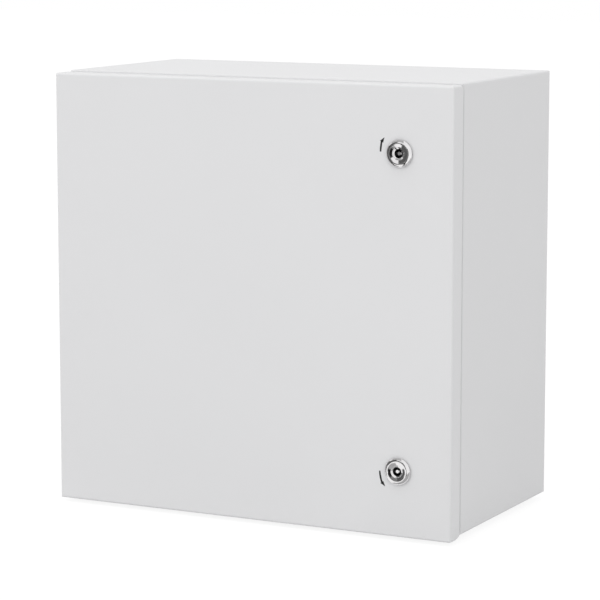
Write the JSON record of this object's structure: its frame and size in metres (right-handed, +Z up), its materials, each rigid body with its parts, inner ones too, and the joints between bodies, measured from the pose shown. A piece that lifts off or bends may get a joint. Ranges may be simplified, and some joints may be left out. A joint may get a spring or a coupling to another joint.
{
  "type": "steel wall enclosure",
  "caption": "Sheet steel wall enclosure with a sealed hinged door on concealed hinges, cam locks, mounting plate and gland plate.",
  "frame": {"origin": "middle of the four wall holes, on the rear face", "axes": "+Z up, +X right as seen from the front, the door faces -Y, the wall lies at +Y"},
  "size_m": [0.604, 0.3405, 0.6075],
  "materials": {
    "paint": "light grey powder coat, fine texture",
    "galvanised": "galvanised sheet",
    "foam": "foamed-in-place polyurethane seal",
    "seal": "flat rubber seal",
    "lock_chrome": "bright chromed die casting",
    "hinge_zinc": "zinc die casting",
    "fastener": "bright zinc plate"
  },
  "bodies": {
    "root": {"body_shell": "paint", "gland_gasket": "foam", "gland_plate": "paint", "gland_screws": "fastener", "gland_nuts": "fastener", "panel_studs": "fastener", "mounting_plate": "galvanised", "panel_washers": "fastener", "panel_nuts": "fastener", "earth_stud_body": "fastener", "earth_nut_body": "fastener", "hinge_bracket_upper": "hinge_zinc", "hinge_bracket_lower": "hinge_zinc", "hinge_screws": "fastener"},
    "door": {"door_shell": "paint", "door_gasket": "foam", "door_rail_left": "galvanised", "door_rail_right": "galvanised", "hinge_leaf_upper": "hinge_zinc", "hinge_leaf_lower": "hinge_zinc", "hinge_pin_upper": "fastener", "hinge_pin_lower": "fastener", "earth_stud_door": "fastener", "earth_nut_door": "fastener", "lock_housing_top": "lock_chrome", "lock_housing_bottom": "lock_chrome", "lock_seal_top": "seal", "lock_seal_bottom": "seal", "lock_nut_top": "fastener", "lock_nut_bottom": "fastener"},
    "lock_top": {"lock_insert_top": "lock_chrome", "cam_top": "fastener", "cam_screw_top": "fastener"},
    "lock_bottom": {"lock_insert_bottom": "lock_chrome", "cam_bottom": "fastener", "cam_screw_bottom": "fastener"}
  },
  "joints": [
    {"name": "door_hinge", "type": "hinge", "parent": "root", "child": "door", "pos_m": [-0.294, -0.318, 0], "axis": [0, 0, -1], "range_deg": [0, 120]},
    {"name": "lock_top_turn", "type": "hinge", "parent": "door", "child": "lock_top", "pos_m": [0.225, -0.335, 0.2085], "axis": [0, -1, 0], "range_deg": [0, 90]},
    {"name": "lock_bottom_turn", "type": "hinge", "parent": "door", "child": "lock_bottom", "pos_m": [0.225, -0.335, -0.2135], "axis": [0, 1, 0], "range_deg": [0, 90]}
  ]
}
